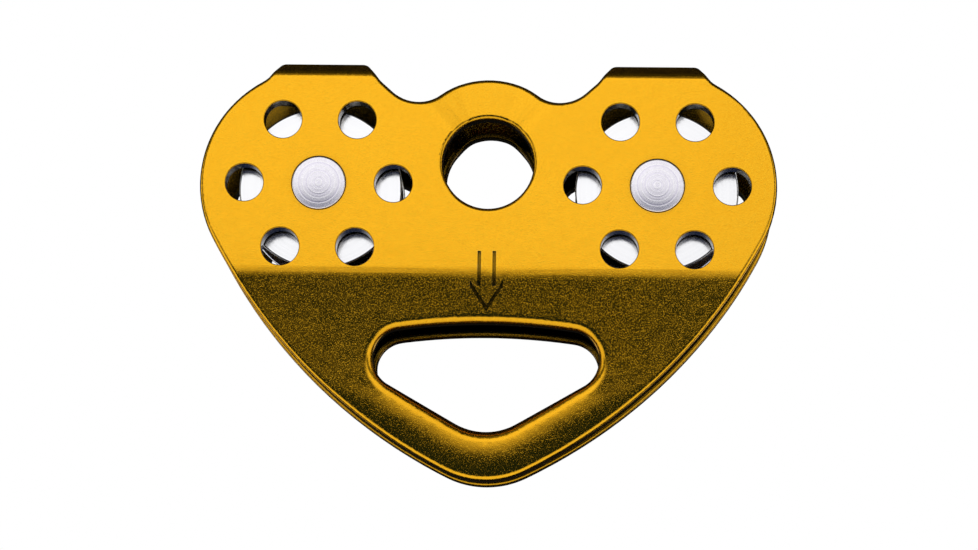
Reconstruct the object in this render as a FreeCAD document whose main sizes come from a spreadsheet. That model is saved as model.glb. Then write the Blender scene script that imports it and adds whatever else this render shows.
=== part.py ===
import FreeCAD, Part
import math
import os

from FreeCAD import Placement, Rotation, Vector
import Sketcher

# Double rope pulley: two formed side plates, two grooved sheaves in line on
# riveted axles, each sheave on a pair of shielded ball bearings.
# Frame: X along the line of the axles, Z up, Y through the plates (front is -Y).
# Origin: centre of the upper bore, halfway between the two plates.

doc = FreeCAD.newDocument("RopePulley")

DIMENSIONS = [
    # plates
    ("plate_thickness", 4.2, "sheet thickness of each side plate"),
    ("plate_gap", 16.2, "clear distance between the plates at the axles"),
    ("bore_radius", 9.15, "upper bore through both plates"),
    ("bore_rounding", 0.95, "rounding of the upper bore's edges"),
    ("crown_radius", 17.1, "outline round the upper bore"),
    ("valley_radius", 8.0, "hollow between crown and tab"),
    ("valley_floor", 12.7, "height of the hollow's lowest point"),
    ("valley_slope", 42.0, "slope of the outline where it leaves the hollow, degrees"),
    ("lobe_radius", 24.0, "outline round each axle"),
    ("lobe_end_angle", 28.0, "angle below the axle line where lobe meets flank, degrees"),
    ("flank_radius", 108.0, "long side of the outline"),
    ("apex_radius", 18.0, "outline at the bottom"),
    ("rim_rounding", 1.0, "rounding of the outline on the outer face"),
    ("rim_rounding_inner", 0.8, "rounding of the outline on the inner face"),
    # tabs folded in over the sheaves
    ("tab_fold_height", 17.2, "height where the tab starts to fold"),
    ("tab_fold_angle", 50.0, "fold of the tab towards the other plate, degrees"),
    ("tab_fold_radius", 2.5, "outer radius of the fold"),
    ("tab_fold_radius_inner", 1.0, "inner radius of the fold"),
    ("tab_reach", 8.5, "straight part of the tab before it is trimmed"),
    ("tab_top_height", 20.8, "top of the trimmed tab"),
    ("tab_land", 1.3, "strip along the top before the squared end"),
    ("tab_root_height", 17.0, "height at which the tab's sides start"),
    ("tab_root_near", 22.05, "tab side nearest the middle, at its root"),
    ("tab_root_far", 44.9, "tab side farthest from the middle, at its root"),
    ("tab_side_slope", 53.5, "slope of the tab's sides seen from the front, degrees"),
    ("tab_near_blend", 6.0, "blend of the tab's near side into the outline"),
    ("tab_far_blend", 5.0, "blend of the tab's far side into the lobe"),
    ("tab_corner_radius", 1.6, "rounding of the tab's corners"),
    # inward lean of the lower half
    ("lean_height", -20.9, "height where the plate starts to lean inwards"),
    ("lean_angle", 9.0, "lean just below the bend, degrees"),
    ("lean_angle_end", 5.0, "lean at the bottom, degrees"),
    ("lean_radius", 16.0, "outer radius of the bend"),
    # lower hole, a rounded triangle
    ("hook_end_x", 16.8, "centre of the hole's side arcs"),
    ("hook_end_z", -39.2, "height of the hole's side arcs"),
    ("hook_end_radius", 5.8, "radius of the hole's side arcs"),
    ("hook_top_z", -32.2, "highest point of the hole"),
    ("hook_base_z", -53.5, "lowest point of the hole"),
    ("hook_base_radius", 12.5, "radius of the hole's lowest arc"),
    ("hook_rounding", 2.0, "rounding of the hole on the outer face"),
    ("hook_rounding_inner", 1.0, "rounding of the hole on the inner face"),
    # lightening holes
    ("light_hole_radius", 3.8, "small holes round each axle"),
    ("light_circle_radius", 15.0, "circle of the small holes"),
    ("light_hole_count", 6, "small holes round each axle"),
    ("light_hole_rounding", 0.25, "rounding of the small holes"),
    # load arrow pressed into the front plate
    ("arrow_top", -17.9, "top of the arrow's shaft"),
    ("arrow_tip", -30.0, "tip of the arrow"),
    ("arrow_shaft_length", 7.0, "length of the shaft's two strokes"),
    ("arrow_shaft_gap", 3.0, "distance between the shaft's strokes"),
    ("arrow_head_width", 6.6, "width of the arrow's head"),
    ("arrow_head_length", 4.9, "height of the arrow's head"),
    ("arrow_stroke", 0.7, "width of a stroke"),
    ("arrow_depth", 0.45, "depth of a stroke"),
    # axles
    ("axle_spacing", 68.0, "distance between the two axles"),
    ("axle_height", -4.3, "height of the axles"),
    ("axle_radius", 4.0, "axle pin"),
    ("head_radius", 5.4, "formed head of the axle"),
    ("head_thickness", 1.5, "thickness of the formed head"),
    ("head_proud", 0.3, "how far the head stands out of the plate"),
    ("head_rounding", 0.3, "rounding of the head's rim"),
    ("head_clearance", 0.15, "radial gap round the head in its counterbore"),
    ("slip_clearance", 0.02, "radial clearance of parts slid onto each other"),
    # sheaves
    ("sheave_radius", 16.5, "outer radius of the flanges"),
    ("sheave_width", 13.6, "width over the flanges"),
    ("tread_radius", 11.0, "bottom of the rope groove"),
    ("groove_radius", 6.0, "section radius of the rope groove"),
    ("flange_rounding", 0.35, "rounding of the flange rims"),
    ("shoulder_radius", 7.0, "rib inside the hub between the two bearings"),
    # ball bearings
    ("bearing_radius", 8.0, "outer radius of a bearing"),
    ("bearing_width", 5.0, "width of a bearing"),
    ("ball_radius", 1.0, "bearing ball"),
    ("ball_count", 9, "balls in a bearing"),
    ("pitch_radius", 6.0, "circle of the ball centres"),
    ("race_clearance", 0.05, "gap between a ball and its races"),
    ("inner_land_radius", 5.4, "shoulder of the inner ring"),
    ("outer_land_radius", 6.6, "shoulder of the outer ring"),
    ("cage_inner_radius", 5.72, "inside of the cage"),
    ("cage_outer_radius", 6.28, "outside of the cage"),
    ("cage_width", 2.6, "width of the cage"),
    ("pocket_clearance", 0.08, "gap between a ball and its pocket"),
    ("shield_inner_radius", 5.72, "inside of a shield"),
    ("shield_outer_radius", 6.9, "outside of a shield"),
    ("shield_thickness", 0.25, "thickness of a shield"),
    ("shield_inset", 0.25, "distance of a shield from the bearing's face"),
    ("spacer_radius", 5.2, "outer radius of the spacers and the sleeve"),
]

sheet = doc.addObject("Spreadsheet::Sheet", "dims")
for row, (alias, value, note) in enumerate(DIMENSIONS, start=1):
    sheet.set(f"A{row}", alias)
    sheet.set(f"B{row}", str(value))
    sheet.set(f"C{row}", note)
    sheet.setAlias(f"B{row}", alias)
doc.recompute()


def dim(alias):
    """Value of a driving dimension."""
    return float(sheet.get(alias))


SIDES = {"left": -1, "right": 1}
FACES = {"front": -1, "rear": 1}
AXLE_X = dim("axle_spacing") / 2
FACE_Y = dim("plate_gap") / 2 + dim("plate_thickness")
LONG = 200.0   # longer than anything in the part, for cuts that go right through


# ---------------------------------------------------------------- plane geometry
def polar(centre, radius, degrees):
    """Point at an angle on a circle."""
    turn = math.radians(degrees)
    return centre + Vector(math.cos(turn), math.sin(turn), 0) * radius


def angle_of(centre, point):
    return math.atan2(point.y - centre.y, point.x - centre.x)


def line(start, end):
    return Part.LineSegment(start, end)


def arc(centre, start, end, clockwise=True):
    """Arc about a centre, from start to end in the given sense."""
    first, last = (end, start) if clockwise else (start, end)
    circle = Part.Circle(centre, Vector(0, 0, 1), (start - centre).Length)
    return Part.ArcOfCircle(circle, angle_of(centre, first), angle_of(centre, last))


def mirrored(point):
    return Vector(-point.x, point.y, 0)


def corner_arc(before, corner, after, radius):
    """Tangent points and centre of an arc that rounds a corner of two lines."""
    back = (before - corner).normalize()
    ahead = (after - corner).normalize()
    half = back.getAngle(ahead) / 2
    start = corner + back * (radius / math.tan(half))
    end = corner + ahead * (radius / math.tan(half))
    centre = corner + (back + ahead).normalize() * (radius / math.sin(half))
    return start, centre, end


def ends(geometry):
    return {1: geometry.StartPoint, 2: geometry.EndPoint}


def add_loop(sketch, loop):
    """Add a closed loop of lines and arcs and tie its corners together."""
    first = sketch.GeometryCount
    sketch.addGeometry(loop, False)
    for place, geometry in enumerate(loop):
        following = (place + 1) % len(loop)
        near = [(one, two) for one, a in ends(geometry).items()
                for two, b in ends(loop[following]).items() if (a - b).Length < 1e-6]
        one, two = near[0] if place or len(near) == 1 else near[-1]
        sketch.addConstraint(Sketcher.Constraint("Coincident", first + place, one,
                                                 first + following, two))


def bind_radius(sketch, index, alias):
    """Tie the radius of a circle or arc to a driving dimension."""
    constraint = sketch.addConstraint(Sketcher.Constraint("Radius", index, dim(alias)))
    sketch.setExpression(f"Constraints[{constraint}]", f"dims.{alias}")


def new_sketch(body, plane, name):
    """Sketch on one of the body's own origin planes."""
    support = next(item for item in body.Origin.OriginFeatures if item.Role == plane)
    sketch = body.newObject("Sketcher::SketchObject", name)
    sketch.AttachmentSupport = [(support, "")]
    sketch.MapMode = "FlatFace"
    return sketch


# ---------------------------------------------------------------- plate outlines
def outline_loop():
    """Closed outline of a side plate, clockwise from the crown's right end."""
    origin = Vector(0, 0, 0)
    valley_reach = dim("crown_radius") + dim("valley_radius")
    valley_z = dim("valley_floor") + dim("valley_radius")
    valley = Vector(math.sqrt(valley_reach ** 2 - valley_z ** 2), valley_z, 0)
    crown_end = valley * (dim("crown_radius") / valley_reach)
    valley_end = polar(valley, dim("valley_radius"), dim("valley_slope") - 90)

    slope = math.radians(dim("tab_side_slope"))
    root_z = dim("tab_root_height")
    rise = dim("tab_top_height") - root_z
    near_root = Vector(dim("tab_root_near"), root_z, 0)
    near_top = near_root + Vector(rise / math.tan(slope), rise, 0)
    far_root = Vector(dim("tab_root_far"), root_z, 0)
    far_top = far_root + Vector(-rise / math.tan(slope), rise, 0)
    near_start, near_centre, near_end = corner_arc(valley_end, near_root, near_top,
                                                   dim("tab_near_blend"))
    corner = dim("tab_corner_radius")
    one_start, one_centre, one_end = corner_arc(near_root, near_top, far_top, corner)
    two_start, two_centre, two_end = corner_arc(near_top, far_top, far_root, corner)

    # blend outside the lobe and beside the tab's far side
    lobe = Vector(AXLE_X, dim("axle_height"), 0)
    blend = dim("tab_far_blend")
    outward = Vector(math.sin(slope), math.cos(slope), 0)
    along = (far_top - far_root).normalize()
    start = far_root + outward * blend - lobe
    half = start.dot(along)
    reach = dim("lobe_radius") + blend
    travel = -half + math.sqrt(half ** 2 - start.dot(start) + reach ** 2)
    far_centre = lobe + start + along * travel
    far_start = far_centre - outward * blend
    lobe_start = lobe + (far_centre - lobe) * (dim("lobe_radius") / reach)

    end_angle = dim("lobe_end_angle")
    lobe_end = polar(lobe, dim("lobe_radius"), -end_angle)
    flank = polar(lobe, dim("flank_radius") - dim("lobe_radius"), 180 - end_angle)
    apex_reach = dim("flank_radius") - dim("apex_radius")
    apex = Vector(0, flank.y - math.sqrt(apex_reach ** 2 - flank.x ** 2), 0)
    flank_end = flank + (apex - flank) * (dim("flank_radius") / apex_reach)

    loop = [arc(origin, mirrored(crown_end), crown_end)]
    for sign in (1, -1):
        place = (lambda point: point) if sign == 1 else mirrored
        turn = sign == 1
        half_loop = [
            arc(place(valley), place(crown_end), place(valley_end), not turn),
            line(place(valley_end), place(near_start)),
            arc(place(near_centre), place(near_start), place(near_end), not turn),
            line(place(near_end), place(one_start)),
            arc(place(one_centre), place(one_start), place(one_end), turn),
            line(place(one_end), place(two_start)),
            arc(place(two_centre), place(two_start), place(two_end), turn),
            line(place(two_end), place(far_start)),
            arc(place(far_centre), place(far_start), place(lobe_start), not turn),
            arc(place(lobe), place(lobe_start), place(lobe_end), turn),
            arc(place(flank), place(lobe_end), place(flank_end), turn),
        ]
        if sign == 1:
            loop += half_loop
            loop.append(arc(apex, flank_end, mirrored(flank_end)))
        else:
            loop += reversed(half_loop)
    return loop


def hook_loop():
    """Closed outline of the lower hole, a triangle with round corners."""
    side = Vector(dim("hook_end_x"), dim("hook_end_z"), 0)
    side_radius = dim("hook_end_radius")
    drop = dim("hook_top_z") - side.y
    top_radius = (side.x ** 2 + drop ** 2 - side_radius ** 2) / (2 * (drop - side_radius))
    top = Vector(0, dim("hook_top_z") - top_radius, 0)
    top_end = side + (side - top).normalize() * side_radius

    base = Vector(0, dim("hook_base_z") + dim("hook_base_radius"), 0)
    between = side - base
    tilt = math.asin((dim("hook_base_radius") - side_radius) / between.Length)
    tilt += math.atan2(between.y, between.x)
    normal = Vector(math.sin(tilt), -math.cos(tilt), 0)
    side_end = side + normal * side_radius
    base_end = base + normal * dim("hook_base_radius")
    return [
        arc(top, mirrored(top_end), top_end),
        arc(side, top_end, side_end),
        line(side_end, base_end),
        arc(base, base_end, mirrored(base_end)),
        line(mirrored(base_end), mirrored(side_end)),
        arc(mirrored(side), mirrored(side_end), mirrored(top_end)),
    ]


def section_loop(inset=0.0):
    """Side section of the formed sheet, outward distance against height.

    A positive inset moves the outer face inwards, for the floor of the arrow.
    """
    fold = math.radians(dim("tab_fold_angle"))
    lean = math.radians(dim("lean_angle"))
    lean_end = math.radians(dim("lean_angle_end"))
    thick = dim("plate_thickness") - inset
    outer = FACE_Y - inset
    inner = outer - thick
    floor = dim("hook_base_z") - LONG / 10
    along_tab = Vector(-math.sin(fold), math.cos(fold), 0)
    into_sheet = Vector(-math.cos(fold), -math.sin(fold), 0)
    fold_radius = dim("tab_fold_radius") - inset

    fold_centre = Vector(outer - fold_radius, dim("tab_fold_height"), 0)
    fold_start = Vector(outer, dim("tab_fold_height"), 0)
    fold_end = fold_centre - into_sheet * fold_radius
    tip = fold_end + along_tab * dim("tab_reach")
    tip_inner = tip + into_sheet * thick
    inner_corner = tip_inner - along_tab * ((inner - tip_inner.x) / math.sin(fold))
    lean_centre = Vector(outer - (dim("lean_radius") - inset), dim("lean_height"), 0)
    lean_start = Vector(outer, dim("lean_height"), 0)
    lean_stop = polar(lean_centre, dim("lean_radius") - inset, -dim("lean_angle"))
    inner_start = Vector(inner, dim("lean_height"), 0)
    inner_stop = polar(lean_centre, dim("lean_radius") - inset - thick, -dim("lean_angle"))
    corner_start, corner_centre, corner_end = corner_arc(
        tip_inner, inner_corner, inner_start, dim("tab_fold_radius_inner"))

    # the lean eases off along a large arc down to the bottom
    ease = (lean_stop.y - floor) / (math.sin(lean) - math.sin(lean_end))
    outward = Vector(math.cos(lean), -math.sin(lean), 0)
    outward_end = Vector(math.cos(lean_end), -math.sin(lean_end), 0)
    ease_centre = lean_stop + outward * ease
    foot = ease_centre - outward_end * ease
    foot_inner = ease_centre - outward_end * (ease + thick)
    return [
        line(tip_inner, tip),
        line(tip, fold_end),
        arc(fold_centre, fold_end, fold_start),
        line(fold_start, lean_start),
        arc(lean_centre, lean_start, lean_stop),
        arc(ease_centre, lean_stop, foot, False),
        line(foot, foot_inner),
        arc(ease_centre, foot_inner, inner_stop),
        arc(lean_centre, inner_stop, inner_start, False),
        line(inner_start, corner_end),
        arc(corner_centre, corner_end, corner_start, False),
        line(corner_start, tip_inner),
    ]


def facing(loop, sign):
    """The same loop for the front plate (sign -1) or the rear plate (sign 1)."""
    if sign == 1:
        return loop
    turned = []
    for geometry in loop:
        copy = geometry.copy()
        copy.mirror(Vector(0, 0, 0), Vector(0, 1, 0))
        if isinstance(copy, Part.ArcOfCircle) and copy.Circle.Axis.z < 0:
            start, end = copy.StartPoint, copy.EndPoint
            copy = arc(copy.Circle.Center, start, end, True)
        turned.append(copy)
    return turned


# ---------------------------------------------------------------- plates
def sharp_edges(shape, accept):
    """Numbers of the edges between faces that meet at an angle, filtered by accept."""
    numbers = []
    for number, edge in enumerate(shape.Edges, start=1):
        faces = shape.ancestorsOfType(edge, Part.Face)
        if len(faces) != 2:
            continue
        middle = edge.valueAt((edge.FirstParameter + edge.LastParameter) / 2)
        normals = []
        for face in faces:
            u, v = face.Surface.parameter(middle)
            normals.append(face.normalAt(u, v))
        if normals[0].getAngle(normals[1]) < math.radians(15):
            continue
        if accept(middle, normals):
            numbers.append(number)
    return numbers


def round_edges(base, radius_alias, accept, name):
    """Fillet the accepted edges of an object."""
    doc.recompute()
    radius = dim(radius_alias)
    fillet = doc.addObject("Part::Fillet", name)
    fillet.Base = base
    fillet.Edges = [(number, radius, radius) for number in sharp_edges(base.Shape, accept)]
    doc.recompute()
    return fillet


def distance_to(x, z, point):
    return math.hypot(point.x - x, point.z - z)


def in_hook(point):
    """True near the rim of the lower hole."""
    return (abs(point.x) < dim("hook_end_x") + dim("hook_end_radius") + 0.5
            and dim("hook_base_z") - 0.5 < point.z < dim("hook_top_z") + 0.5
            and distance_to(0, dim("hook_base_z") + dim("hook_base_radius"), point) < 24)


def in_bore(point):
    return distance_to(0, 0, point) < dim("bore_radius") + 0.5


def round_axle(point, radius):
    """True inside a radius round either axle."""
    return distance_to(math.copysign(AXLE_X, point.x), dim("axle_height"), point) < radius


def on_outline(point):
    light_reach = dim("light_circle_radius") + dim("light_hole_radius") + 0.5
    return not (in_hook(point) or in_bore(point) or round_axle(point, light_reach))


def boolean(kind, name, base, tool):
    result = doc.addObject(f"Part::{kind}", name)
    result.Base = base
    result.Tool = tool
    return result


def rectangle(low_x, high_x, low_z, high_z):
    corners = [Vector(x, z, 0) for x, z in ((low_x, low_z), (high_x, low_z),
                                            (high_x, high_z), (low_x, high_z))]
    return [line(corners[i], corners[(i + 1) % 4]) for i in range(4)]


def formed_sheet(face, sign):
    """Sheet of the plate's section, with its folds, as wide as the whole plate."""
    body = doc.addObject("PartDesign::Body", f"{face}_sheet")
    section = new_sketch(body, "YZ_Plane", f"{face}_section")
    add_loop(section, facing(section_loop(), sign))
    blank = body.newObject("PartDesign::Pad", f"{face}_sheet_pad")
    blank.Profile = section
    blank.SideType = "Symmetric"
    blank.setExpression("Length", "2 * dims.axle_spacing")

    # only the tabs are folded: the crown between them stays flat inside
    relief = new_sketch(body, "YZ_Plane", f"{face}_crown_section")
    half_gap = sign * dim("plate_gap") / 2
    add_loop(relief, rectangle(min(0, half_gap), max(0, half_gap), dim("valley_floor"), LONG))
    crown = body.newObject("PartDesign::Pocket", f"{face}_crown_relief")
    crown.Profile = relief
    crown.SideType = "Symmetric"
    crown.setExpression("Length", "2 * dims.crown_radius")
    return body


def outline_block(face):
    """Block of the plate's front outline with its holes."""
    body = doc.addObject("PartDesign::Body", f"{face}_outline")
    outline = new_sketch(body, "XZ_Plane", f"{face}_outline_sketch")
    add_loop(outline, outline_loop())
    bind_radius(outline, 0, "crown_radius")
    add_loop(outline, hook_loop())
    up = Vector(0, 0, 1)
    bore = outline.addGeometry(Part.Circle(Vector(0, 0, 0), up, dim("bore_radius")), False)
    bind_radius(outline, bore, "bore_radius")
    for side in SIDES.values():
        axle = Vector(side * AXLE_X, dim("axle_height"), 0)
        pin_hole = dim("axle_radius") + dim("slip_clearance")
        outline.addGeometry(Part.Circle(axle, up, pin_hole), False)
        count = int(dim("light_hole_count"))
        for place in range(count):
            centre = polar(axle, dim("light_circle_radius"), 360 / count * place)
            ring = outline.addGeometry(Part.Circle(centre, up, dim("light_hole_radius")), False)
            bind_radius(outline, ring, "light_hole_radius")
    block = body.newObject("PartDesign::Pad", f"{face}_outline_pad")
    block.Profile = outline
    block.SideType = "Symmetric"
    block.setExpression("Length", "2 * dims.axle_spacing")
    return body


def tab_end_block(face, sign):
    """Block that squares the ends of the tabs to the folded sheet."""
    fold = math.radians(dim("tab_fold_angle"))
    along_tab = Vector(0, -sign * math.sin(fold), math.cos(fold))
    fold_end_y = FACE_Y - dim("tab_fold_radius") * (1 - math.cos(fold))
    fold_end_z = dim("tab_fold_height") + dim("tab_fold_radius") * math.sin(fold)
    top = dim("tab_top_height")
    top_y = fold_end_y - (top - fold_end_z) * math.tan(fold) - dim("tab_land")
    side = dim("plate_gap")
    block = doc.addObject("Part::Box", f"{face}_tab_end_block")
    block.Width = side
    block.Height = side
    block.setExpression("Length", "2 * dims.axle_spacing")
    corner = Vector(-dim("axle_spacing"), sign * top_y, top)
    if sign == 1:
        corner += along_tab * side
    turn = 180 + dim("tab_fold_angle") if sign == 1 else -dim("tab_fold_angle")
    block.Placement = Placement(corner, Rotation(Vector(1, 0, 0), turn))
    return block


def make_plate(face, sign):
    """One side plate: formed sheet within its outline, head seats, rounded edges."""
    plate = boolean("Common", f"{face}_blank", formed_sheet(face, sign), outline_block(face))
    seat_depth = dim("head_thickness") - dim("head_proud")
    for side_name, side in SIDES.items():
        seat = doc.addObject("Part::Cylinder", f"{face}_{side_name}_seat")
        seat.setExpression("Radius", "dims.head_radius + dims.head_clearance")
        seat.setExpression("Height", "2 * (dims.head_thickness - dims.head_proud)")
        seat.Placement = Placement(
            Vector(side * AXLE_X, sign * FACE_Y + seat_depth, dim("axle_height")),
            Rotation(Vector(1, 0, 0), 90))
        plate = boolean("Cut", f"{face}_{side_name}_seated", plate, seat)

    light_inside = dim("light_circle_radius") - dim("light_hole_radius") - 0.5
    light_outside = dim("light_circle_radius") + dim("light_hole_radius") + 0.5

    def outer_side(normals):
        return max(normal.y * sign for normal in normals) > 0.5

    def tab_end(normals):
        """True where an edge borders the end of a tab, which stays crisp."""
        fold = math.radians(dim("tab_fold_angle"))
        along_tab = Vector(0, -sign * math.sin(fold), math.cos(fold))
        return any(normal.getAngle(along_tab) < math.radians(5) for normal in normals)

    def light_rim(point, normals):
        return (round_axle(point, light_outside) and not round_axle(point, light_inside)
                and not in_bore(point))

    plate = round_edges(plate, "rim_rounding",
                        lambda point, normals: on_outline(point) and outer_side(normals),
                        f"{face}_outer_rim")
    plate = boolean("Cut", f"{face}_squared", plate, tab_end_block(face, sign))
    plate = round_edges(plate, "rim_rounding_inner",
                        lambda point, normals: on_outline(point) and not tab_end(normals),
                        f"{face}_inner_rim")
    plate = round_edges(plate, "hook_rounding",
                        lambda point, normals: in_hook(point) and outer_side(normals),
                        f"{face}_hook_outer")
    plate = round_edges(plate, "hook_rounding_inner",
                        lambda point, normals: in_hook(point), f"{face}_hook_inner")
    plate = round_edges(plate, "bore_rounding",
                        lambda point, normals: in_bore(point), f"{face}_bore_rim")
    return round_edges(plate, "light_hole_rounding", light_rim, f"{face}_light_rims")


def arrow_strokes(face, sign):
    """Tool for a load arrow: two strokes and a chevron, cut to a shallow depth."""
    body = doc.addObject("PartDesign::Body", f"{face}_arrow")
    strokes = new_sketch(body, "XZ_Plane", f"{face}_arrow_sketch")
    top = dim("arrow_top")
    width = dim("arrow_stroke")
    for side in SIDES.values():
        middle = side * dim("arrow_shaft_gap") / 2
        add_loop(strokes, rectangle(middle - width / 2, middle + width / 2,
                                    top - dim("arrow_shaft_length"), top))
    half = dim("arrow_head_width") / 2
    tip = dim("arrow_tip")
    barb = tip + dim("arrow_head_length")
    rise = width * math.hypot(half, barb - tip) / half
    chevron = [Vector(x, z, 0) for x, z in (
        (0, tip), (half, barb), (half, barb + rise),
        (0, tip + rise), (-half, barb + rise), (-half, barb))]
    add_loop(strokes, [line(chevron[i], chevron[(i + 1) % 6]) for i in range(6)])
    pad = body.newObject("PartDesign::Pad", f"{face}_arrow_pad")
    pad.Profile = strokes
    pad.SideType = "Two sides"
    near, far = ("Length2", "Length") if sign == 1 else ("Length", "Length2")
    pad.setExpression(near, "dims.plate_gap")
    setattr(pad, far, 1.0)

    floor = doc.addObject("PartDesign::Body", f"{face}_arrow_floor")
    section = new_sketch(floor, "YZ_Plane", f"{face}_arrow_floor_section")
    add_loop(section, facing(section_loop(dim("arrow_depth")), sign))
    core = floor.newObject("PartDesign::Pad", f"{face}_arrow_floor_pad")
    core.Profile = section
    core.SideType = "Symmetric"
    core.setExpression("Length", "dims.axle_spacing")
    return boolean("Cut", f"{face}_arrow_tool", body, floor)


# ---------------------------------------------------------------- turned pieces
def profile_loop(corners):
    """Closed loop through corners (along axle, radius, rounding)."""
    points = [Vector(along, radius, 0) for along, radius, _ in corners]
    starts = []
    stops = []
    arcs = []
    for place, (_, _, rounding) in enumerate(corners):
        before, corner = points[place - 1], points[place]
        after = points[(place + 1) % len(points)]
        if rounding == 0:
            starts.append(corner)
            stops.append(corner)
            arcs.append(None)
            continue
        start, centre, end = corner_arc(before, corner, after, rounding)
        starts.append(start)
        stops.append(end)
        turn = (corner - before).cross(after - corner).z
        arcs.append(arc(centre, start, end, turn < 0))
    loop = []
    for place, rounded in enumerate(arcs):
        if rounded:
            loop.append(rounded)
        loop.append(line(stops[place], starts[(place + 1) % len(points)]))
    return loop


def turned(name, corners, side, along=0.0):
    """Body of revolution on an axle, its profile given as corners."""
    body = doc.addObject("PartDesign::Body", name)
    profile = new_sketch(body, "YZ_Plane", f"{name}_profile")
    add_loop(profile, profile_loop(corners))
    spin = body.newObject("PartDesign::Revolution", f"{name}_turned")
    spin.Profile = profile
    spin.ReferenceAxis = (profile, ["H_Axis"])
    spin.Angle = 360
    put_on_axle(body, side, along)
    return body


def put_on_axle(item, side, along, turn=0.0):
    """Place an object on an axle; turn swings its own Z axis about X."""
    item.Placement = Placement(Vector(side * AXLE_X, along, dim("axle_height")),
                               Rotation(Vector(1, 0, 0), turn))
    item.setExpression("Placement.Base.x", f"{side} * dims.axle_spacing / 2")
    item.setExpression("Placement.Base.z", "dims.axle_height")


def tube(name, inner, outer, length, side, along):
    """Plain turned tube, centred along the axle at a given place."""
    half = length / 2
    corners = [(-half, inner, 0), (half, inner, 0), (half, outer, 0), (-half, outer, 0)]
    return turned(name, corners, side, along)


def ring_torus(name, ring_radius, wire_radius, side, along):
    """Torus round an axle, sized by two expressions."""
    torus = doc.addObject("Part::Torus", name)
    torus.setExpression("Radius1", ring_radius)
    torus.setExpression("Radius2", wire_radius)
    put_on_axle(torus, side, along, 90)
    return torus


def make_axle(name, side):
    """Steel pin with a formed head at each end."""
    pin = dim("axle_radius")
    head = dim("head_radius")
    outer = FACE_Y + dim("head_proud")
    inner = outer - dim("head_thickness")
    rim = dim("head_rounding")
    return turned(name, [(-outer, 0, 0), (outer, 0, 0), (outer, head, rim), (inner, head, 0),
                         (inner, pin, 0), (-inner, pin, 0), (-inner, head, 0),
                         (-outer, head, rim)], side)


def bearing_offset():
    """Distance of a bearing's middle from the middle of its sheave."""
    return (dim("sheave_width") - dim("bearing_width")) / 2


def make_sheave(name, side):
    """Grooved sheave with a bearing seat from each side and a rib between them."""
    half = dim("sheave_width") / 2
    rib = half - dim("bearing_width")
    seat = dim("bearing_radius") + dim("slip_clearance")
    rim = dim("sheave_radius")
    blank = turned(f"{name}_blank", [
        (-half, seat, 0), (-rib, seat, 0), (-rib, dim("shoulder_radius"), 0),
        (rib, dim("shoulder_radius"), 0), (rib, seat, 0), (half, seat, 0),
        (half, rim, 0), (-half, rim, 0)], side)
    groove = ring_torus(f"{name}_groove", "dims.tread_radius + dims.groove_radius",
                        "dims.groove_radius", side, 0.0)
    grooved = boolean("Cut", f"{name}_grooved", blank, groove)

    def rim_edge(point, normals):
        return distance_to(side * AXLE_X, dim("axle_height"), point) > rim - 0.1

    return round_edges(grooved, "flange_rounding", rim_edge, name)


def make_spacers(side_name, side):
    """Two spacers against the plates and a sleeve between the two inner rings."""
    inner = dim("axle_radius") + dim("slip_clearance")
    outer = dim("spacer_radius")
    length = (dim("plate_gap") - dim("sheave_width")) / 2
    sleeve_length = dim("sheave_width") - 2 * dim("bearing_width")
    pieces = {f"sleeve_{side_name}": tube(f"sleeve_{side_name}", inner, outer,
                                          sleeve_length, side, 0.0)}
    for face, sign in FACES.items():
        name = f"spacer_{side_name}_{face}"
        along = sign * (dim("plate_gap") - length) / 2
        pieces[name] = tube(name, inner, outer, length, side, along)
    return pieces


# ---------------------------------------------------------------- ball bearings
def ball_places(side, along):
    """Centre and outward turn about Y of every ball in a bearing."""
    count = int(dim("ball_count"))
    for place in range(count):
        turn = 360 / count * place
        outward = Rotation(Vector(0, 1, 0), turn).multVec(Vector(0, 0, 1))
        axle = Vector(side * AXLE_X, along, dim("axle_height"))
        yield axle + outward * dim("pitch_radius"), outward, turn


def make_balls(name, side, along):
    """Ring of balls on the bearing's pitch circle."""
    balls = []
    for place, (centre, _, _) in enumerate(ball_places(side, along)):
        ball = doc.addObject("Part::Sphere", f"{name}_{place}")
        ball.setExpression("Radius", "dims.ball_radius")
        ball.Placement = Placement(centre, Rotation())
        balls.append(ball)
    circle = doc.addObject("Part::Compound", name)
    circle.Links = balls
    return circle


def make_cage(name, side, along):
    """Band round the balls with a round pocket for each of them."""
    band = tube(f"{name}_band", dim("cage_inner_radius"), dim("cage_outer_radius"),
                dim("cage_width"), side, along)
    pockets = []
    for place, (centre, outward, turn) in enumerate(ball_places(side, along)):
        pocket = doc.addObject("Part::Cylinder", f"{name}_pocket_{place}")
        pocket.setExpression("Radius", "dims.ball_radius + dims.pocket_clearance")
        pocket.setExpression("Height", "2 * dims.ball_radius")
        pocket.Placement = Placement(centre - outward * dim("ball_radius"),
                                     Rotation(Vector(0, 1, 0), turn))
        pockets.append(pocket)
    tool = doc.addObject("Part::MultiFuse", f"{name}_pockets")
    tool.Shapes = pockets
    return boolean("Cut", name, band, tool)


def raceway(name, ring, side, along):
    """Cut the ball groove into a bearing ring."""
    groove = ring_torus(f"{name}_race", "dims.pitch_radius",
                        "dims.ball_radius + dims.race_clearance", side, along)
    return boolean("Cut", name, ring, groove)


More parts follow.
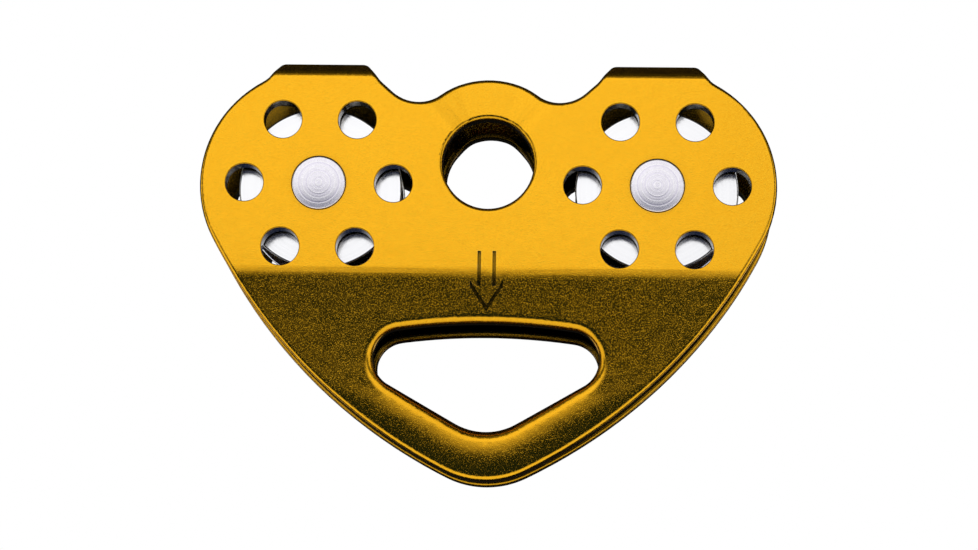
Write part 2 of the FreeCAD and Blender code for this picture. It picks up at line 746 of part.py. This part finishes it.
def make_bearing(prefix, side, sign):
    """Shielded ball bearing: two rings, balls, cage and two shields."""
    along = sign * bearing_offset()
    half = dim("bearing_width") / 2
    recess = half - dim("shield_inset") - dim("shield_thickness")
    bore = dim("axle_radius") + dim("slip_clearance")
    outside = dim("bearing_radius")
    land = dim("outer_land_radius")
    seat = dim("shield_outer_radius")
    rings = {
        "inner_ring": tube(f"{prefix}_inner_blank", bore, dim("inner_land_radius"),
                           2 * half, side, along),
        "outer_ring": turned(f"{prefix}_outer_blank", [
            (-half, seat, 0), (-recess, seat, 0), (-recess, land, 0), (recess, land, 0),
            (recess, seat, 0), (half, seat, 0), (half, outside, 0), (-half, outside, 0)],
            side, along),
    }
    pieces = {}
    for ring, blank in rings.items():
        name = f"{prefix}_{ring}"
        pieces[name] = raceway(name, blank, side, along)

    pieces[f"{prefix}_balls"] = make_balls(f"{prefix}_balls", side, along)
    pieces[f"{prefix}_cage"] = make_cage(f"{prefix}_cage", side, along)
    for place, way in {"outer": sign, "inner": -sign}.items():
        name = f"{prefix}_shield_{place}"
        middle = along + way * (recess + dim("shield_thickness") / 2)
        pieces[name] = tube(name, dim("shield_inner_radius"), dim("shield_outer_radius"),
                            dim("shield_thickness"), side, middle)
    return pieces


# ---------------------------------------------------------------- assembly
def make_all():
    """Every piece of the pulley by node name."""
    front = make_plate("front", FACES["front"])
    arrow = arrow_strokes("front", FACES["front"])
    pieces = {
        "plate_front": boolean("Cut", "plate_front", front, arrow),
        "plate_rear": make_plate("rear", FACES["rear"]),
    }
    for side_name, side in SIDES.items():
        pieces[f"axle_{side_name}"] = make_axle(f"axle_{side_name}", side)
        pieces[f"sheave_{side_name}"] = make_sheave(f"sheave_{side_name}", side)
        pieces.update(make_spacers(side_name, side))
        for face, sign in FACES.items():
            pieces.update(make_bearing(f"bearing_{side_name}_{face}", side, sign))
    doc.recompute()
    return pieces


def check_state(pieces):
    """Stop if any object failed or any piece has no valid solid."""
    for item in doc.Objects:
        if "Invalid" in item.State or "Error" in item.State:
            raise RuntimeError(f"{item.Name} could not be computed: {item.State}")
    for name, piece in pieces.items():
        shape = piece.Shape
        if shape.isNull() or not shape.isValid() or not shape.Solids:
            raise RuntimeError(f"{name} has no valid solid")


def export(pieces):
    """Write one STEP file for each node."""
    os.makedirs("parts", exist_ok=True)
    for name, piece in pieces.items():
        piece.Label = name
        piece.Shape.exportStep(f"parts/{name}.step")
        box = piece.Shape.BoundBox
        print(f"{name}: solids {len(piece.Shape.Solids)} volume {piece.Shape.Volume:.1f} "
              f"size {box.XLength:.2f} x {box.YLength:.2f} x {box.ZLength:.2f}")


nodes = make_all()
check_state(nodes)
export(nodes)
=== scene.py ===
import math

import bmesh
import bpy
from mathutils import Matrix, Vector


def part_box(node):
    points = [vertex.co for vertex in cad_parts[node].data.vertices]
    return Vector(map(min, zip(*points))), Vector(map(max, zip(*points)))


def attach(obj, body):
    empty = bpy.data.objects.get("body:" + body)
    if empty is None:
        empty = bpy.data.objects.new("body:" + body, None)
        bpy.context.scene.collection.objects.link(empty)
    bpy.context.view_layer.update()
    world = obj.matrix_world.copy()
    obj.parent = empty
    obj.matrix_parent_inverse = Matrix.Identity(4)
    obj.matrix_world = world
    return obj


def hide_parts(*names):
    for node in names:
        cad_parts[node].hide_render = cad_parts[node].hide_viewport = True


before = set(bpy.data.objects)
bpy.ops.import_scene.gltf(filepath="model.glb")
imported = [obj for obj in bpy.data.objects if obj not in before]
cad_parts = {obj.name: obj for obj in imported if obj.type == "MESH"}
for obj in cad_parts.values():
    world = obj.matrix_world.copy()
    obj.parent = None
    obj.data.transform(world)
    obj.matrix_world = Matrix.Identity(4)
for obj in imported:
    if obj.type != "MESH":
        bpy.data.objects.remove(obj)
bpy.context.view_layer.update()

# Rope pulley: two gold anodised side plates, two polished sheaves on shielded
# ball bearings, and two riveted steel axles. All sizes are in metres.


# ---------------------------------------------------------------- node helpers
class Nodes:
    """Short calls for building one shader tree."""

    def __init__(self, tree):
        self.tree = tree
        self.tree.nodes.clear()

    def add(self, kind, **settings):
        """New node of a kind, with its settings."""
        node = self.tree.nodes.new(kind)
        for name, value in settings.items():
            setattr(node, name, value)
        return node

    def feed(self, node, **inputs):
        """Set or link inputs given by name, with underscores for spaces."""
        for name, value in inputs.items():
            socket = node.inputs[name.replace("_", " ")]
            if isinstance(value, bpy.types.NodeSocket):
                self.tree.links.new(value, socket)
            else:
                socket.default_value = value

    def noise(self, place, scale, detail, roughness):
        """Value of a noise texture; a scale of 1000 gives features of a millimetre."""
        node = self.add("ShaderNodeTexNoise")
        self.feed(node, Vector=place, Scale=scale, Detail=detail, Roughness=roughness)
        return node.outputs["Fac"]

    def remap(self, value, low, high, to_low=0.0, to_high=1.0, smooth=False):
        """Value moved from the range low to high into another range, and clamped to it."""
        node = self.add("ShaderNodeMapRange")
        if smooth:
            node.interpolation_type = "SMOOTHSTEP"
        self.feed(node, Value=value, From_Min=low, From_Max=high,
                  To_Min=to_low, To_Max=to_high)
        return node.outputs["Result"]

    def math(self, operation, one, two=0.0, clamp=False):
        """Sum, product or other operation on one or two values."""
        node = self.add("ShaderNodeMath", operation=operation, use_clamp=clamp)
        for place, value in enumerate((one, two)):
            if isinstance(value, bpy.types.NodeSocket):
                self.tree.links.new(value, node.inputs[place])
            else:
                node.inputs[place].default_value = value
        return node.outputs[0]

    def blend(self, factor, one, two):
        """Mix of two colours: the first at a factor of 0, the second at 1."""
        node = self.add("ShaderNodeMix", data_type="RGBA")
        for socket, value in ((node.inputs[0], factor), (node.inputs[6], one),
                              (node.inputs[7], two)):
            if isinstance(value, bpy.types.NodeSocket):
                self.tree.links.new(value, socket)
            else:
                socket.default_value = value if isinstance(value, float) else (*value, 1.0)
        return node.outputs[2]

    def bump(self, height, distance, strength=1.0, normal=None):
        """Normal of a surface whose height rises by the distance, in metres, at 1."""
        node = self.add("ShaderNodeBump")
        self.feed(node, Height=height, Distance=distance, Strength=strength)
        if normal is not None:
            self.feed(node, Normal=normal)
        return node.outputs["Normal"]

    def place(self):
        """Object coordinates, which are the frame's own metres."""
        return self.add("ShaderNodeTexCoord").outputs["Object"]

    def axes(self, place):
        """The X, Y and Z of a place, by name."""
        node = self.add("ShaderNodeSeparateXYZ")
        self.feed(node, Vector=place)
        return node.outputs

    def point(self, **axes):
        """Place made of single values, with 0 for an axis that is left out."""
        node = self.add("ShaderNodeCombineXYZ")
        self.feed(node, **axes)
        return node.outputs[0]


def new_material(name, metallic):
    """Material with one Principled shader; returns it with its nodes and shader."""
    material = bpy.data.materials.new(name)
    material.use_nodes = True
    nodes = Nodes(material.node_tree)
    shader = nodes.add("ShaderNodeBsdfPrincipled")
    nodes.feed(shader, Metallic=metallic)
    out = nodes.add("ShaderNodeOutputMaterial")
    nodes.tree.links.new(shader.outputs[0], out.inputs["Surface"])
    return material, nodes, shader


# ---------------------------------------------------------------- materials
NOISE_LOW, NOISE_HIGH = 0.3, 0.7          # most of a noise texture's values lie between

GOLD_DARK = (0.80, 0.37, 0.010)           # between the grains
GOLD_LIGHT = (1.0, 0.54, 0.024)           # on the grains
GOLD_CLOUD = (0.88, 0.43, 0.014)          # soft patches of deeper gold
GOLD_WORN = (0.95, 0.68, 0.22)            # rubbed edges
GOLD_PAINTED_SHADE = (0.04, 0.028, 0.004)        # painted shade in the holes and between the plates
CLOUD_SHARE = 0.35                        # how strongly the patches show
WORN_SHARE = 0.4                          # how strongly the rubbed edges show
WORN_RADIUS = 0.0003                      # width of the rubbed edges
PAINTED_SHADE_REACH = 0.035                      # how far away another surface still adds painted shade
GRAIN_SHARE, WAVE_SHARE = 0.4, 0.7        # parts of grain and waves in the gold's height

STEEL_DARK = (0.72, 0.68, 0.80)           # darker turned rings of the axle heads
STEEL_LIGHT = (1.0, 0.98, 1.0)            # paler rings
HEAD_CROWN = -14.0                        # a head's height is this times its radius squared


def painted_gap_shade(n, reach):
    """Shader value that falls where other surfaces are close, as in holes and gaps; it
    places painted shade there.
    """
    node = n.add("ShaderNodeAmbientOcclusion", samples=6)
    n.feed(node, Distance=reach)
    return n.remap(node.outputs["AO"], low=0.60, high=0.93)


def edge_share(n, radius):
    """Shader value that is 1 on edges and 0 on smooth faces."""
    bevel = n.add("ShaderNodeBevel", samples=4)
    n.feed(bevel, Radius=radius)
    facing = n.add("ShaderNodeVectorMath", operation="DOT_PRODUCT")
    geometry = n.add("ShaderNodeNewGeometry")
    n.tree.links.new(bevel.outputs[0], facing.inputs[0])
    n.tree.links.new(geometry.outputs["Normal"], facing.inputs[1])
    return n.remap(facing.outputs["Value"], low=0.99, high=0.90)


def gold_colour(n, grain, waves, clouds):
    """Gold dye with grain and patches, paler on worn edges, with painted shade in the holes
    and gaps.
    """
    colour = n.blend(n.remap(grain, low=0.32, high=0.68), GOLD_DARK, GOLD_LIGHT)
    patches = n.remap(clouds, NOISE_LOW, NOISE_HIGH, to_high=CLOUD_SHARE)
    colour = n.blend(patches, colour, GOLD_CLOUD)
    uneven = n.remap(waves, low=0.45, high=0.65)
    worn = n.math("MULTIPLY", edge_share(n, WORN_RADIUS), uneven, clamp=True)
    colour = n.blend(n.math("MULTIPLY", worn, WORN_SHARE), colour, GOLD_WORN)
    # painted shade: the gold turns near black where other surfaces are close
    return n.blend(painted_gap_shade(n, PAINTED_SHADE_REACH), GOLD_PAINTED_SHADE, colour)


def gold_anodised():
    """Gold dye over a fine blasted surface."""
    material, n, shader = new_material("gold_anodised", 1.0)
    place = n.place()
    grain = n.noise(place, scale=4200.0, detail=2.0, roughness=0.7)
    waves = n.noise(place, scale=420.0, detail=2.0, roughness=0.5)
    clouds = n.noise(place, scale=60.0, detail=3.0, roughness=0.5)
    specks = n.remap(grain, low=0.55, high=0.75)
    height = n.math("ADD", n.math("MULTIPLY", specks, GRAIN_SHARE),
                    n.math("MULTIPLY", waves, WAVE_SHARE))
    n.feed(shader, Base_Color=gold_colour(n, grain, waves, clouds),
           Roughness=n.remap(waves, NOISE_LOW, NOISE_HIGH, to_low=0.10, to_high=0.16),
           Normal=n.bump(height, distance=0.00003))
    return material


def distance_from_axle(n, axes, centre):
    """Shader value of the distance from the nearer axle's line."""
    across = n.math("SUBTRACT", n.math("ABSOLUTE", axes["X"]), abs(centre.x))
    up = n.math("SUBTRACT", axes["Z"], centre.z)
    return n.math("SQRT", n.math("ADD", n.math("MULTIPLY", across, across),
                                 n.math("MULTIPLY", up, up)))


def turned_steel(centre):
    """Stainless steel faced on a lathe: rings round the axles and a slight crown."""
    material, n, shader = new_material("turned_steel", 1.0)
    place = n.place()
    radius = distance_from_axle(n, n.axes(place), centre)
    rings = n.noise(n.point(X=radius), scale=2600.0, detail=3.0, roughness=0.6)
    speck = n.noise(place, scale=1800.0, detail=3.0, roughness=0.6)
    colour = n.blend(n.remap(rings, low=0.35, high=0.65), STEEL_DARK, STEEL_LIGHT)
    rough = n.remap(n.math("ADD", rings, speck), 0.7, 1.3, to_low=0.20, to_high=0.36)
    crown = n.math("MULTIPLY", n.math("MULTIPLY", radius, radius), HEAD_CROWN)
    ring_normal = n.bump(rings, distance=0.00006)
    n.feed(shader, Base_Color=colour, Roughness=rough,
           Normal=n.bump(crown, distance=1.0, normal=ring_normal))
    return material


def polished_aluminium(centre):
    """Turned and polished sheave, with faint rings and smears."""
    material, n, shader = new_material("polished_aluminium", 1.0)
    place = n.place()
    axes = n.axes(place)
    profile = n.point(X=distance_from_axle(n, axes, centre), Y=axes["Y"])
    rings = n.noise(profile, scale=3000.0, detail=3.0, roughness=0.6)
    smear = n.noise(place, scale=130.0, detail=4.0, roughness=0.6)
    colour = n.blend(n.remap(smear, NOISE_LOW, NOISE_HIGH),
                     (0.86, 0.86, 0.88), (0.93, 0.93, 0.95))
    rough = n.remap(n.math("ADD", rings, smear), 0.7, 1.3, to_low=0.10, to_high=0.2)
    n.feed(shader, Base_Color=colour, Roughness=rough,
           Normal=n.bump(rings, distance=0.00002, strength=0.5))
    return material


def plain_metal(name, dark, light, rough_low, rough_high, scale):
    """Metal with fine speckle, for the small hidden pieces."""
    material, n, shader = new_material(name, 1.0)
    speck = n.noise(n.place(), scale=scale, detail=4.0, roughness=0.6)
    n.feed(shader, Base_Color=n.blend(n.remap(speck, NOISE_LOW, NOISE_HIGH), dark, light),
           Roughness=n.remap(speck, NOISE_LOW, NOISE_HIGH, rough_low, rough_high),
           Normal=n.bump(speck, distance=0.00002, strength=0.5))
    return material


def floor_paper():
    """Pale seamless paper with a very slight tooth."""
    material, n, shader = new_material("floor_paper", 0.0)
    place = n.place()
    tooth = n.noise(place, scale=900.0, detail=3.0, roughness=0.6)
    cloud = n.noise(place, scale=3.0, detail=2.0, roughness=0.5)
    colour = n.blend(n.remap(cloud, NOISE_LOW, NOISE_HIGH),
                     (0.80, 0.80, 0.80), (0.83, 0.83, 0.83))
    n.feed(shader, Base_Color=colour,
           Roughness=n.remap(tooth, NOISE_LOW, NOISE_HIGH, to_low=0.8, to_high=0.95),
           Normal=n.bump(tooth, distance=0.0002, strength=0.3))
    return material


def material_of(node):
    """Key of the material that a CAD node takes."""
    if node.startswith("plate"):
        return "plate"
    if node.startswith("axle"):
        return "axle"
    if node.startswith("sheave"):
        return "sheave"
    if node.endswith("cage"):
        return "cage"
    if "shield" in node:
        return "shield"
    if node.startswith(("spacer", "sleeve")):
        return "spacer"
    return "bearing"


def dress_nodes(axle_centre):
    """Give every CAD node its material; returns the materials by kind."""
    kinds = {
        "plate": gold_anodised(),
        "axle": turned_steel(axle_centre),
        "sheave": polished_aluminium(axle_centre),
        "cage": plain_metal("pressed_brass", (0.50, 0.33, 0.12), (0.66, 0.47, 0.20),
                            rough_low=0.25, rough_high=0.4, scale=900.0),
        "shield": plain_metal("pressed_steel", (0.50, 0.50, 0.52), (0.62, 0.62, 0.64),
                              rough_low=0.2, rough_high=0.35, scale=700.0),
        "spacer": plain_metal("turned_aluminium", (0.72, 0.72, 0.73), (0.84, 0.84, 0.85),
                              rough_low=0.25, rough_high=0.4, scale=800.0),
        "bearing": plain_metal("ground_steel", (0.60, 0.60, 0.62), (0.72, 0.72, 0.74),
                               rough_low=0.12, rough_high=0.25, scale=1200.0),
    }
    for name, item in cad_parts.items():
        item.data.materials.clear()
        item.data.materials.append(kinds[material_of(name)])
    return kinds


# ---------------------------------------------------------------- shaped plates
# The CAD's plates are flat round the upper bore and under the lower hole. The
# visible copies are pressed inwards round the bore and rounded under the hole.
WELD = 1e-7                               # points nearer than this are one point
CROWN_FOOT = 0.003                        # height where the crown starts
CROWN_HALF_WIDTH = 0.0165                 # half the width of the area cut for it
PRESS_DEPTH = 0.0014                      # how far each crown is pressed inwards
PRESS_STRETCH = 0.03                      # how much the pressed metal spreads outwards
PRESS_INSIDE = math.radians(20)           # fully pressed within this angle of upright
PRESS_OUTSIDE = math.radians(50)          # not pressed beyond this angle
PRESS_STEPS = 10                          # cuts across each slanted crease

HOLE_BASE_Z = -0.041                      # centre of the lower hole's lowest arc
HOLE_BASE_RADIUS = 0.0125                 # radius of that arc
HOLE_SIDE_SLOPE = math.radians(29.5)      # slope of the hole's straight sides
STRAP_HALF_WIDTH = 0.0047                 # half the metal's width under the hole
STRAP_CURVE = 38.0                        # curvature across that strap, per metre
STRAP_START = -0.043                      # height where the strap starts to be rounded
STRAP_FULL = -0.049                       # height below which it is fully rounded
STRAP_EDGE = 0.0012                       # longer edges of the strap's mesh are split
STRAP_PASSES = 7                          # how many times they are halved at most

DEGENERATE = 1e-6                         # shorter edges and thinner faces are removed
SHARP_ANGLE = math.radians(40)            # edges sharper than this stay sharp


def eased(share):
    """Share from 0 to 1 with a gentle start and end."""
    share = min(max(share, 0.0), 1.0)
    return share * share * (3 - 2 * share)


def cut(mesh, geometry, point, normal):
    """Add edges where a plane crosses part of a mesh."""
    bmesh.ops.bisect_plane(mesh, geom=geometry, dist=WELD, plane_co=point, plane_no=normal)


def all_of(mesh):
    """Every point, edge and face of a mesh."""
    return [*mesh.verts, *mesh.edges, *mesh.faces]


def crown_of(mesh):
    """The part of a mesh round the top of the upper bore, in the same order each run."""
    centres = ((face, face.calc_center_median()) for face in mesh.faces)
    faces = [face for face, centre in centres
             if centre.z > CROWN_FOOT and abs(centre.x) < CROWN_HALF_WIDTH]
    edges = dict.fromkeys(edge for face in faces for edge in face.edges)
    verts = dict.fromkeys(vert for face in faces for vert in face.verts)
    return [*verts, *edges, *faces]


def refine_crown(mesh):
    """Cut a plate along the crown's limits and in steps across its two creases."""
    cut(mesh, all_of(mesh), (0, 0, CROWN_FOOT), (0, 0, 1))
    for side in (-1, 1):
        cut(mesh, all_of(mesh), (side * CROWN_HALF_WIDTH, 0, 0), (1, 0, 0))
        for step in range(PRESS_STEPS + 1):
            angle = PRESS_INSIDE + (PRESS_OUTSIDE - PRESS_INSIDE) * step / PRESS_STEPS
            cut(mesh, crown_of(mesh), (0, 0, 0),
                (math.cos(angle), 0, -side * math.sin(angle)))


def refine_strap(mesh):
    """Split the long edges under the lower hole, so that the metal there can be rounded."""
    for _ in range(STRAP_PASSES):
        edges = [edge for edge in mesh.edges if edge.calc_length() > STRAP_EDGE
                 and min(vert.co.z for vert in edge.verts) < STRAP_START]
        bmesh.ops.subdivide_edges(mesh, edges=edges, cuts=1)
        bmesh.ops.triangulate(mesh, faces=[face for face in mesh.faces
                                           if len(face.verts) > 3])


def crown_share(point):
    """Share of the crown's full depth at a point, by its angle from upright."""
    angle = abs(math.atan2(point.x, point.z))
    return eased((PRESS_OUTSIDE - angle) / (PRESS_OUTSIDE - PRESS_INSIDE))


def strap_sag(point):
    """How far a point of the strap lies behind the strap's middle line."""
    side, up = abs(point.x), point.z - HOLE_BASE_Z
    cos, sin = math.cos(HOLE_SIDE_SLOPE), math.sin(HOLE_SIDE_SLOPE)
    beside = side * cos + up * sin > 0
    reach = side * sin - up * cos if beside else math.hypot(side, up)
    middle = reach - HOLE_BASE_RADIUS - STRAP_HALF_WIDTH
    share = eased((STRAP_START - point.z) / (STRAP_START - STRAP_FULL))
    return share * STRAP_CURVE / 2 * middle * middle


def shape_plate(mesh, inward):
    """Press the crown and round the strap; inward is the sign of Y towards the middle."""
    for vert in mesh.verts:
        if vert.co.z > CROWN_FOOT:
            share = crown_share(vert.co)
            vert.co.x *= 1 + PRESS_STRETCH * share
            vert.co.z *= 1 + PRESS_STRETCH * share
            vert.co.y += inward * PRESS_DEPTH * share
        elif vert.co.z < STRAP_START:
            vert.co.y += inward * strap_sag(vert.co)


def plate_mesh(name):
    """Mesh data of a side plate's shaped copy."""
    mesh = bmesh.new()
    mesh.from_mesh(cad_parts[name].data)
    bmesh.ops.remove_doubles(mesh, verts=mesh.verts, dist=WELD)
    refine_crown(mesh)
    refine_strap(mesh)
    shape_plate(mesh, -math.copysign(1.0, sum(corner.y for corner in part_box(name))))
    bmesh.ops.dissolve_degenerate(mesh, edges=mesh.edges, dist=DEGENERATE)
    data = bpy.data.meshes.new(f"{name}_pressed")
    mesh.to_mesh(data)
    mesh.free()
    # the CAD's stored normals no longer fit the cut and moved faces
    if "custom_normal" in data.attributes:
        data.attributes.remove(data.attributes["custom_normal"])
    data.shade_smooth()
    data.set_sharp_from_angle(angle=SHARP_ANGLE)
    return data


def pressed_plate(name, material):
    """Show a side plate by its shaped copy."""
    data = plate_mesh(name)
    data.materials.append(material)
    plate = bpy.data.objects.new(f"{name}_pressed", data)
    bpy.context.collection.objects.link(plate)
    plate.modifiers.new("even_shading", "WEIGHTED_NORMAL").keep_sharp = True
    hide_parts(name)
    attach(plate, "frame")


# ---------------------------------------------------------------- studio
WHITE = (1.0, 1.0, 1.0)


def card(n, *limits):
    """Product of smooth steps, each from 0 at its first limit to 1 at its second."""
    share = 1.0
    for value, none, full in limits:
        share = n.math("MULTIPLY", n.remap(value, none, full, smooth=True), share)
    return share


def mirrored_studio(n):
    """The studio as the metal mirrors it: white, with large dark cards around it."""
    axes = n.axes(n.add("ShaderNodeTexCoord").outputs["Generated"])
    side, y, z = n.math("ABSOLUTE", axes["X"]), axes["Y"], axes["Z"]
    overhead = card(n, (z, 0.60, 0.74))
    flanks = card(n, (side, 0.60, 0.72), (side, 0.96, 0.88), (z, -0.20, -0.02))
    front_low = card(n, (side, 0.80, 0.58), (y, -0.30, -0.50), (z, 0.15, -0.14),
                     (z, -0.72, -0.54))
    back_high = card(n, (y, -0.02, 0.16), (z, -0.12, -0.04))
    back_middle = card(n, (side, 0.66, 0.46), (y, 0.02, 0.20))
    back_edges = card(n, (y, 0.00, 0.12), (y, 0.60, 0.45))
    colour = WHITE
    for share, shade in (
            (overhead, (0.020, 0.022, 0.020)),
            (flanks, (0.10, 0.11, 0.08)),
            (front_low, (0.010, 0.022, 0.08)),
            (back_high, (0.045, 0.055, 0.06)),
            (n.math("MAXIMUM", back_middle, back_edges), (0.008, 0.008, 0.008))):
        colour = n.blend(share, colour, shade)
    return colour


def studio_world():
    """White surroundings; only rays that the metal mirrors see the dark cards."""
    world = bpy.data.worlds.new("studio")
    bpy.context.scene.world = world
    world.use_nodes = True
    n = Nodes(world.node_tree)
    rays = n.add("ShaderNodeLightPath")
    background = n.add("ShaderNodeBackground")
    n.feed(background, Strength=1.0,
           Color=n.blend(rays.outputs["Is Glossy Ray"], WHITE, mirrored_studio(n)))
    out = n.add("ShaderNodeOutputWorld")
    n.tree.links.new(background.outputs[0], out.inputs["Surface"])


def area_light(name, place, target, size, power):
    """Square light at a place, facing a target; size in metres, power in watts."""
    light = bpy.data.lights.new(name, "AREA")
    light.size = size
    light.energy = power
    item = bpy.data.objects.new(name, light)
    bpy.context.collection.objects.link(item)
    item.location = place
    item.rotation_mode = "QUATERNION"
    item.rotation_quaternion = (Vector(target) - Vector(place)).to_track_quat("-Z", "Y")


def floor(half, drop):
    """Pale square floor below the hanging pulley, which the metal does not mirror."""
    mesh = bpy.data.meshes.new("floor")
    corners = [(-half, -half, -drop), (half, -half, -drop), (half, half, -drop),
               (-half, half, -drop)]
    mesh.from_pydata(corners, [], [(0, 1, 2, 3)])
    item = bpy.data.objects.new("floor", mesh)
    item.data.materials.append(floor_paper())
    item.visible_glossy = False
    bpy.context.collection.objects.link(item)


def camera(target, azimuth, elevation, distance, roll, width_at_target):
    """Camera that looks at the target from a distance, like a long lens."""
    data = bpy.data.cameras.new("camera")
    data.sensor_width = 36.0
    data.lens = data.sensor_width * distance / width_at_target
    data.clip_start = 0.01
    data.clip_end = 50.0
    item = bpy.data.objects.new("camera", data)
    bpy.context.collection.objects.link(item)
    turn, rise = math.radians(azimuth), math.radians(elevation)
    back = Vector((math.sin(turn) * math.cos(rise), -math.cos(turn) * math.cos(rise),
                   math.sin(rise)))
    item.location = Vector(target) + back * distance
    aim = (-back).to_track_quat("-Z", "Y").to_matrix().to_4x4()
    item.matrix_world = (Matrix.Translation(item.location) @ aim
                         @ Matrix.Rotation(math.radians(roll), 4, "Z"))
    bpy.context.scene.camera = item


# ---------------------------------------------------------------- scene
axle_low, axle_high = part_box("axle_right")
materials = dress_nodes((axle_low + axle_high) / 2)
for plate_name in ("plate_front", "plate_rear"):
    pressed_plate(plate_name, materials["plate"])
studio_world()
floor(half=1.5, drop=0.25)
MIDDLE = (0, 0, -0.02)
area_light("key", place=(-0.35, -0.9, 0.7), target=MIDDLE, size=1.2, power=0.6)
area_light("fill", place=(0.7, -0.6, 0.1), target=MIDDLE, size=1.0, power=0.3)
camera(target=(0.0005, -0.0123, -0.0228), azimuth=1.6, elevation=-10.0, distance=0.70,
       roll=0.83, width_at_target=0.1953)
bpy.context.scene.view_settings.view_transform = "Standard"
